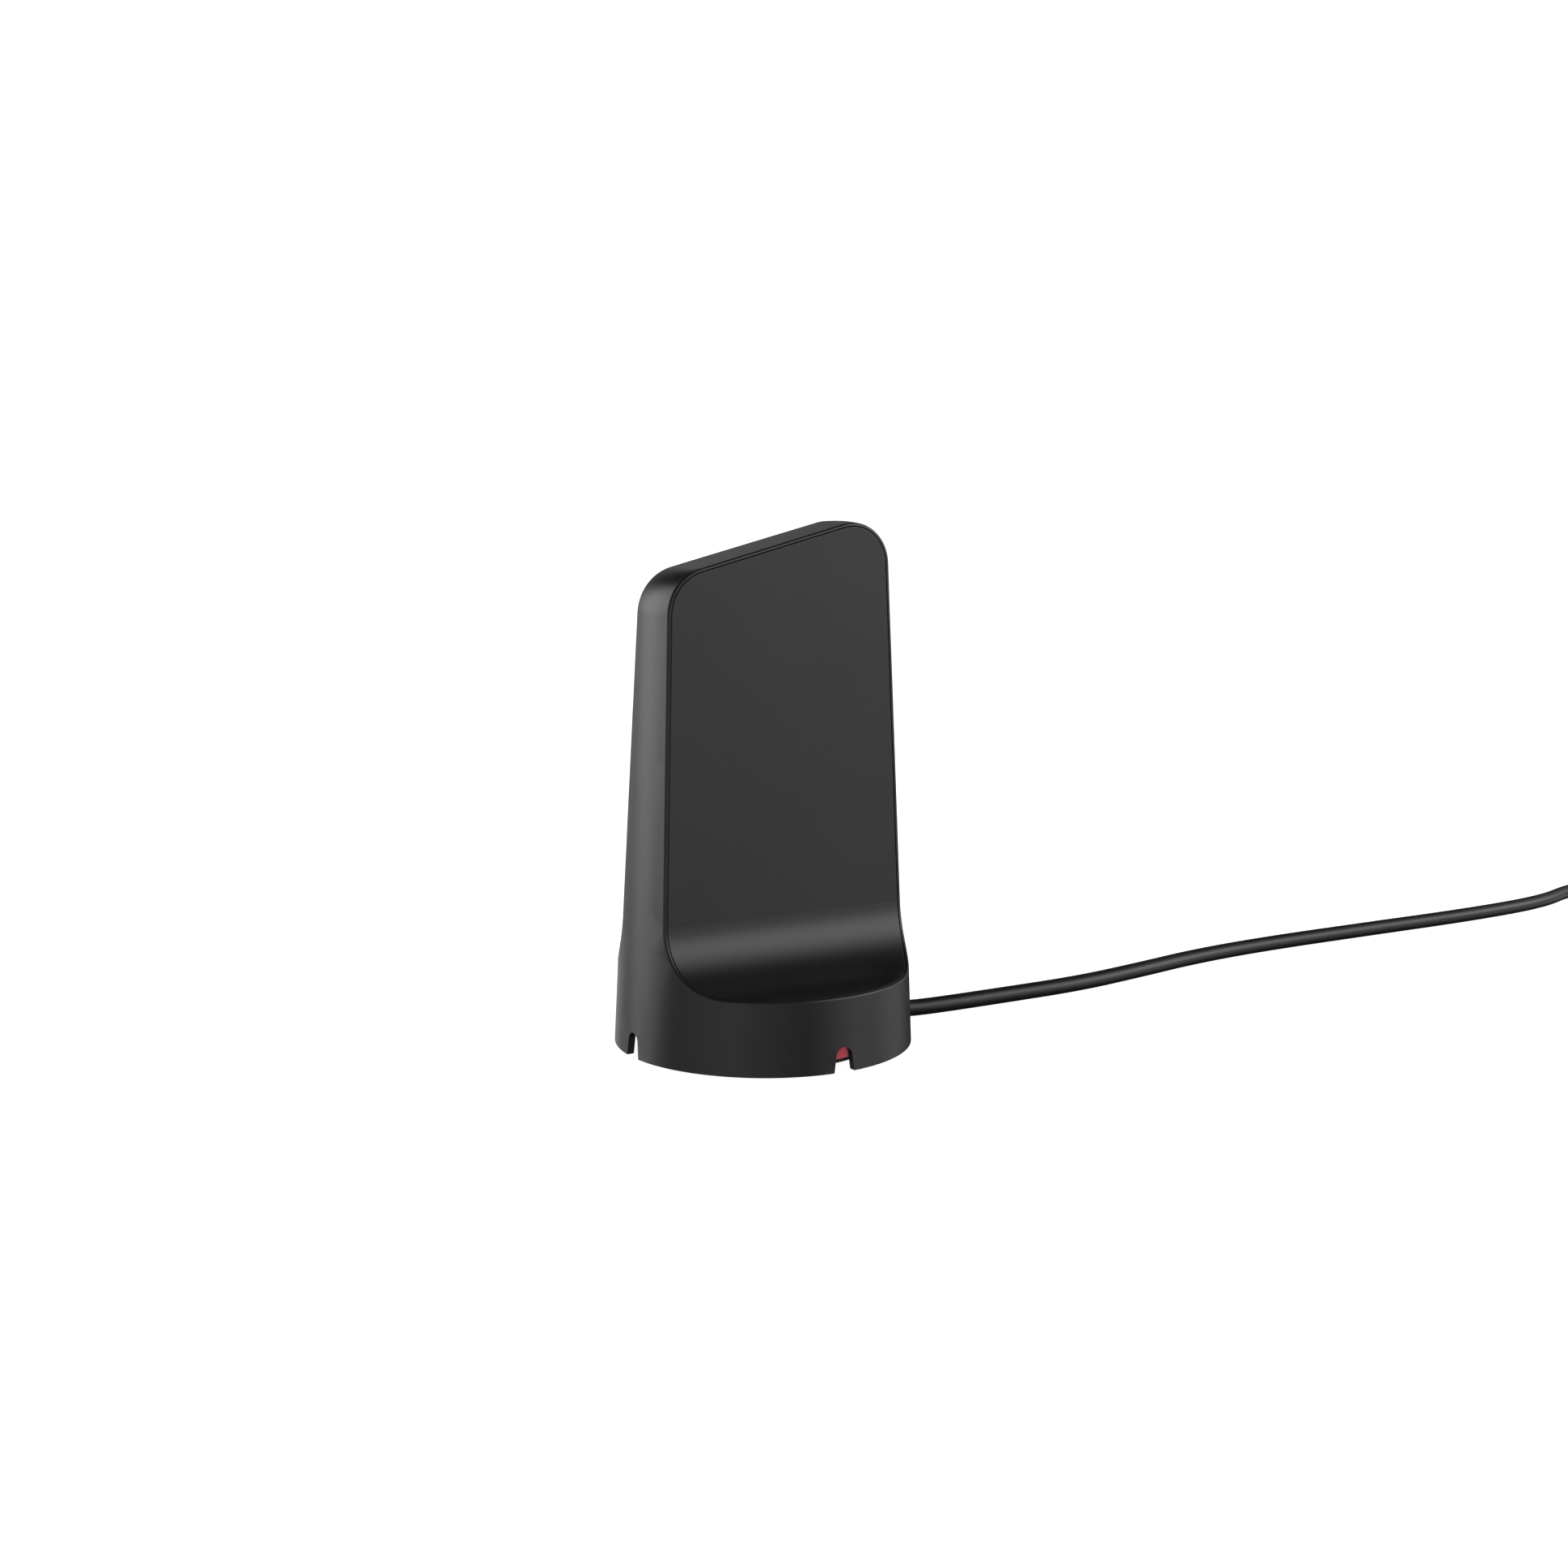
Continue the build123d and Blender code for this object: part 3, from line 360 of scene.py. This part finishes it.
def make_tie():
    """A hook-and-loop strap once round all the turns, with its free end lapped over its start."""
    inner = min(TURN_RADII) - CORD_DIAMETER / 2
    outer = max(TURN_RADII) + CORD_DIAMETER / 2
    top = UPPER_HEIGHT + CORD_DIAMETER / 2 + TIE_RISE
    half_wide = (outer - inner + TIE_THICKNESS) / 2
    half_high = top / 2
    centre = Vector((COIL_CENTRE[0] + (inner + outer) / 2, COIL_CENTRE[1], half_high + TIE_THICKNESS / 2))
    rows = []
    for step in range(TIE_STEPS + TIE_LAP_STEPS + 1):
        angle = TIE_START - 2 * math.pi * step / TIE_STEPS
        across = math.copysign(abs(math.cos(angle)) ** TIE_SQUARENESS, math.cos(angle))
        up = math.copysign(abs(math.sin(angle)) ** TIE_SQUARENESS, math.sin(angle))
        over = smooth(step, TIE_STEPS - TIE_LAP_EASE[0], TIE_STEPS - TIE_LAP_EASE[1])
        curl = smooth(step, TIE_STEPS + TIE_LAP_STEPS - TIE_END_STEPS, TIE_STEPS + TIE_LAP_STEPS)
        lifted = TIE_THICKNESS * TIE_LAP_RISE * over
        lifted += TIE_END_RISE * curl
        wide = half_wide + lifted
        high = half_high + lifted
        rows.append(centre + Vector((wide * across, 0, high * up)))
    verts = []
    faces = []
    for row, middle in enumerate(rows):
        before = rows[max(row - 1, 0)]
        after = rows[min(row + 1, len(rows) - 1)]
        along = (after - before).normalized()
        out = Vector((along.z, 0, -along.x))
        if out.dot(middle - centre) < 0:
            out = -out
        end_part = smooth(row, len(rows) - TIE_END_STEPS, len(rows) - 1)
        rounding = 1 - TIE_END_NARROWING * end_part ** 3
        for side in (-1, 1):
            for band in range(TIE_BANDS + 1):
                share = band / TIE_BANDS * 2 - 1
                edge = 1 - TIE_EDGE_THINNING * abs(share) ** TIE_EDGE_POWER
                offset = side * TIE_THICKNESS / 2 * edge
                y = share * TIE_WIDTH / 2 * rounding
                verts.append(middle + out * offset + Vector((0, y, 0)))
    ring = list(range(TIE_BANDS + 1)) + [2 * TIE_BANDS + 1 - band for band in range(TIE_BANDS + 1)]
    for row in range(len(rows) - 1):
        for place, start in enumerate(ring):
            following = ring[(place + 1) % len(ring)]
            base = row * len(ring)
            above = base + len(ring)
            faces.append((base + start, base + following, above + following, above + start))
    faces.append(tuple(ring))
    faces.append(tuple((len(rows) - 1) * len(ring) + place for place in ring))
    return add_mesh("cord_strap", verts, faces)


# ---- Hub pieces -------------------------------------------------------------------------------------


def make_foot():
    """The rubber pad under the hub, with a rounded rim and three shallow grip grooves in its underside."""
    profile = [(FOOT_MIDDLE, FOOT_THICKNESS), (FOOT_RADIUS, FOOT_THICKNESS)]
    for step in range(FOOT_ROUNDING_STEPS + 1):
        angle = math.pi / 2 * step / FOOT_ROUNDING_STEPS
        radius = FOOT_RADIUS - FOOT_ROUNDING + FOOT_ROUNDING * math.cos(angle)
        profile.append((radius, FOOT_ROUNDING - FOOT_ROUNDING * math.sin(angle)))
    mouth, bottom = GROOVE_HALF_WIDTHS
    for radius in GROOVE_RADII:
        profile.append((radius + mouth, 0))
        profile.append((radius + bottom, GROOVE_DEPTH))
        profile.append((radius - bottom, GROOVE_DEPTH))
        profile.append((radius - mouth, 0))
    profile.append((FOOT_MIDDLE, 0))
    return lathe("foot_pad", profile)


def make_relief():
    """The ribbed rubber sleeve that carries the cord through the hub's wall."""
    bore = CORD_DIAMETER / 2 + RELIEF_CLEARANCE
    profile = [(bore, RELIEF_BODY[0][1]), *RELIEF_BODY]
    for rib in range(RIB_COUNT):
        for depth, along in RIB_SHAPE:
            profile.append((RIB_RADIUS - RIB_TAPER * rib - depth, RIB_START + RIB_PITCH * rib + along))
    profile.append(RELIEF_TIP)
    profile.append((bore, RELIEF_END))
    along_x = Matrix.Translation((0, 0, RELIEF_AXIS_Z)) @ Matrix.Rotation(math.pi / 2, 4, "Y")
    return lathe("cord_sleeve", profile, steps=RELIEF_STEPS, place=along_x, closed=True)


# ---- Materials --------------------------------------------------------------------------------------


class Finish:
    """A material that wanders a little in colour and roughness, with a fine relief all over."""

    def __init__(self, name, dark, light, roughness, grain, depth, metallic=0.0, patch=60, specular=0.5):
        self.name = name
        self.material = bpy.data.materials.new(name)
        self.material.use_nodes = True
        self.tree = self.material.node_tree
        self.shader = self.tree.nodes["Principled BSDF"]
        self.coordinates = self.tree.nodes.new("ShaderNodeTexCoord").outputs["Object"]
        patches = self.between(self.noise(patch), 0, 1)
        self.link(self.blend_colours(patches, dark, light), self.shader.inputs["Base Color"])
        grain_value = self.noise(grain, detail=2.0)
        self.link(self.between(grain_value, *roughness), self.shader.inputs["Roughness"])
        self.add_relief(grain_value, depth)
        self.shader.inputs["Metallic"].default_value = metallic
        self.shader.inputs["Specular IOR Level"].default_value = specular

    def link(self, source, target):
        self.tree.links.new(source, target)

    def mapped(self, setting, value):
        """The piece's coordinates, scaled or turned by this value."""
        mapping = self.tree.nodes.new("ShaderNodeMapping")
        mapping.inputs[setting].default_value = value
        self.link(self.coordinates, mapping.inputs["Vector"])
        return mapping.outputs["Vector"]

    def texture(self, kind, settings, coordinates):
        """A texture node of this kind, with these inputs set."""
        node = self.tree.nodes.new(kind)
        for setting, value in settings.items():
            node.inputs[setting].default_value = value
        self.link(coordinates, node.inputs["Vector"])
        return node

    def noise(self, scale, detail=3.0, stretch=(1, 1, 1)):
        """Noise whose patches are about 1/scale metres across, squeezed by the stretch along each axis."""
        settings = {"Scale": scale, "Detail": detail}
        return self.texture("ShaderNodeTexNoise", settings, self.mapped("Scale", stretch)).outputs["Fac"]

    def between(self, value, low, high):
        """The value's middle range, spread from low to high."""
        node = self.tree.nodes.new("ShaderNodeMapRange")
        node.inputs["From Min"].default_value = NOISE_MIDDLE[0]
        node.inputs["From Max"].default_value = NOISE_MIDDLE[1]
        node.inputs["To Min"].default_value = low
        node.inputs["To Max"].default_value = high
        self.link(value, node.inputs["Value"])
        return node.outputs["Result"]

    def blend_colours(self, value, first, second):
        node = self.tree.nodes.new("ShaderNodeMix")
        node.data_type = "RGBA"
        node.inputs["A"].default_value = (*first, 1)
        node.inputs["B"].default_value = (*second, 1)
        self.link(value, node.inputs["Factor"])
        return node.outputs["Result"]

    def add_relief(self, height, depth, strength=1.0):
        """Bump of this depth in metres, on top of any bump the shader has."""
        node = self.tree.nodes.new("ShaderNodeBump")
        node.inputs["Strength"].default_value = strength
        node.inputs["Distance"].default_value = depth
        self.link(height, node.inputs["Height"])
        normal = self.shader.inputs["Normal"]
        if normal.links:
            self.link(normal.links[0].from_socket, node.inputs["Normal"])
        self.link(node.outputs["Normal"], normal)


def casing_finish():
    """Black moulded plastic with a fine spark-eroded grain and faint uneven sheen."""
    finish = Finish(
        "moulded_black",
        dark=(0.0072, 0.0072, 0.0074),
        light=(0.0092, 0.0092, 0.0095),
        roughness=(0.30, 0.38),
        grain=4200,
        depth=0.000009,
        patch=45,
    )
    finish.add_relief(finish.noise(900, detail=4.0), depth=0.000006)
    return finish


def cord_finish():
    """Soft black cord jacket, with faint uneven marks over a satin skin."""
    finish = Finish(
        "cord_jacket",
        dark=(0.0055, 0.0055, 0.0058),
        light=(0.0085, 0.0085, 0.0089),
        roughness=(0.34, 0.44),
        grain=2600,
        depth=0.000012,
        patch=120,
    )
    finish.add_relief(finish.noise(500), depth=0.00002)
    return finish


def weave_finish():
    """A woven hook-and-loop strap: crossed ribs with fuzzy loops."""
    finish = Finish(
        "strap_weave",
        dark=(0.012, 0.012, 0.013),
        light=(0.035, 0.035, 0.037),
        roughness=(0.75, 0.95),
        grain=5200,
        depth=0.00008,
        patch=1400,
    )
    settings = {"Scale": 380, "Distortion": 1.2, "Detail Scale": 3}
    for direction in ("X", "Y"):
        ribs = finish.texture("ShaderNodeTexWave", settings, finish.coordinates)
        ribs.bands_direction = direction
        finish.add_relief(ribs.outputs["Fac"], depth=0.00006, strength=0.6)
    finish.shader.inputs["Sheen Weight"].default_value = 0.35
    finish.shader.inputs["Sheen Roughness"].default_value = 0.5
    return finish


def metal_finish(name, dark, light, roughness, stretch):
    """Metal with fine drawn or turned lines."""
    finish = Finish(name, dark, light, roughness, grain=2200, depth=0.000004, metallic=1.0, patch=200)
    finish.add_relief(finish.noise(900, detail=4.0, stretch=stretch), depth=0.00001)
    return finish


def copper_finish():
    """Enamelled copper wire, with fine rings in its relief."""
    finish = Finish(
        "enamelled_copper",
        dark=(0.50, 0.17, 0.060),
        light=(0.68, 0.27, 0.11),
        roughness=(0.25, 0.4),
        grain=1800,
        depth=0.00001,
        metallic=1.0,
        patch=700,
    )
    strands = finish.texture("ShaderNodeTexWave", {"Scale": 900, "Distortion": 0.6}, finish.coordinates)
    strands.wave_type = "RINGS"
    finish.add_relief(strands.outputs["Fac"], depth=0.00002)
    return finish


def board_finish():
    """Green solder mask over a faint pattern of tracks."""
    finish = Finish(
        "solder_mask",
        dark=(0.004, 0.075, 0.030),
        light=(0.007, 0.105, 0.042),
        roughness=(0.22, 0.35),
        grain=2600,
        depth=0.000004,
    )
    settings = {
        "Scale": 260,
        "Mortar Size": 0.03,
        "Color1": (0, 0, 0, 1),
        "Color2": (0.2, 0.2, 0.2, 1),
        "Mortar": (1, 1, 1, 1),
    }
    upright = finish.mapped("Rotation", (math.pi / 2, 0, 0))
    tracks = finish.texture("ShaderNodeTexBrick", settings, upright)
    finish.add_relief(tracks.outputs["Color"], depth=0.00003)
    return finish


def ferrite_finish():
    """Dark sintered plate with a fine broken grain."""
    finish = Finish(
        "ferrite",
        dark=(0.018, 0.018, 0.020),
        light=(0.040, 0.040, 0.043),
        roughness=(0.4, 0.6),
        grain=2400,
        depth=0.00001,
    )
    cells = finish.texture("ShaderNodeTexVoronoi", {"Scale": 420}, finish.coordinates)
    finish.add_relief(cells.outputs["Distance"], depth=0.00002)
    return finish


def make_finishes():
    """Every finish of the object, by its name."""
    finishes = [casing_finish(), cord_finish(), weave_finish()]
    finishes += [copper_finish(), board_finish(), ferrite_finish()]
    finishes += [Finish(name, *look) for name, look in PLAIN_FINISHES.items()]
    finishes += [metal_finish(name, *look) for name, look in METAL_FINISHES.items()]
    return {finish.name: finish for finish in finishes}


def give_materials():
    finishes = make_finishes()
    for name, finish_name in PIECE_FINISHES.items():
        data = bpy.data.objects[name].data
        data.materials.clear()
        data.materials.append(finishes[finish_name].material)


# ---- Studio -----------------------------------------------------------------------------------------


def floor_finish():
    """Pale matt card, very slightly uneven, with a little light of its own so that it stays pale."""
    finish = Finish(
        "pale_card",
        dark=(0.86, 0.86, 0.86),
        light=(0.88, 0.88, 0.88),
        roughness=(0.85, 0.95),
        grain=300,
        depth=0.00001,
        patch=3,
        specular=0.1,
    )
    finish.shader.inputs["Emission Color"].default_value = (1, 1, 1, 1)
    finish.shader.inputs["Emission Strength"].default_value = FLOOR_GLOW
    return finish


def make_floor():
    """A wide round floor that sweeps up into a wall, so that every view has the same pale ground."""
    profile = [(radius, 0.0) for radius in FLOOR_FLAT_RADII]
    for step in range(FLOOR_BEND_STEPS + 1):
        angle = math.pi / 2 * step / FLOOR_BEND_STEPS
        radius = FLOOR_RADIUS + FLOOR_BEND * math.sin(angle)
        profile.append((radius, FLOOR_BEND * (1 - math.cos(angle))))
    profile.append((FLOOR_RADIUS + FLOOR_BEND, FLOOR_WALL_TOP))
    faces = [tuple(range(FLOOR_STEPS))] + ring_faces(len(profile), FLOOR_STEPS)
    floor = add_mesh("floor", ring_points(profile, FLOOR_STEPS), faces)
    floor.data.materials.append(floor_finish().material)
    floor.visible_glossy = False
    floor.visible_diffuse = False


def area_light(name, place, size, power):
    """A square softbox that faces the middle of the stand and shows in no gloss."""
    data = bpy.data.lights.new(name, "AREA")
    data.size = size
    data.energy = power
    light = bpy.data.objects.new(name, data)
    bpy.context.scene.collection.objects.link(light)
    light.location = place
    light.rotation_euler = (Vector(FILL_TARGET) - Vector(place)).to_track_quat("-Z", "Y").to_euler()
    light.visible_camera = False
    light.visible_glossy = False


def make_studio_light():
    """Large soft glows round a dim room, as broad reflections, with two fills that show in no gloss."""
    world = bpy.data.worlds.new("studio")
    world.use_nodes = True
    world.cycles.sampling_method = "NONE"
    tree = world.node_tree
    direction = tree.nodes.new("ShaderNodeTexCoord").outputs["Generated"]
    room = tree.nodes.new("ShaderNodeValue")
    room.outputs["Value"].default_value = ROOM_LIGHT
    total = room.outputs["Value"]
    for towards, brightness, reach in GLOWS:
        facing = tree.nodes.new("ShaderNodeVectorMath")
        facing.operation = "DOT_PRODUCT"
        facing.inputs[1].default_value = Vector(towards).normalized()
        tree.links.new(direction, facing.inputs[0])
        glow = tree.nodes.new("ShaderNodeMapRange")
        glow.interpolation_type = "SMOOTHSTEP"
        glow.inputs["From Min"].default_value = math.cos(math.radians(reach))
        glow.inputs["From Max"].default_value = 1
        glow.inputs["To Max"].default_value = brightness
        tree.links.new(facing.outputs["Value"], glow.inputs["Value"])
        added = tree.nodes.new("ShaderNodeMath")
        tree.links.new(glow.outputs["Result"], added.inputs[0])
        tree.links.new(total, added.inputs[1])
        total = added.outputs["Value"]
    background = tree.nodes["Background"]
    tree.links.new(total, background.inputs["Strength"])
    background.inputs["Color"].default_value = (1, 1, 1, 1)
    bpy.context.scene.world = world
    for fill in FILLS:
        area_light(*fill)
    bpy.context.scene.view_settings.view_transform = "Standard"


# ---- The scene --------------------------------------------------------------------------------------

make_camera()

cord = make_cord()
strap = make_tie()
foot = make_foot()
sleeve = make_relief()
give_materials()

for piece, slot, nodes in (
    (cord, "cord_jacket", ("cord", "cord_winding", "cord_tail")),
    (strap, "tie", ("cord_tie",)),
    (foot, "foot_rubber", ("rubber_foot",)),
    (sleeve, "relief_rubber", ("strain_relief",)),
):
    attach(piece, "root")
    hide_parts(*nodes)

make_floor()
make_studio_light()
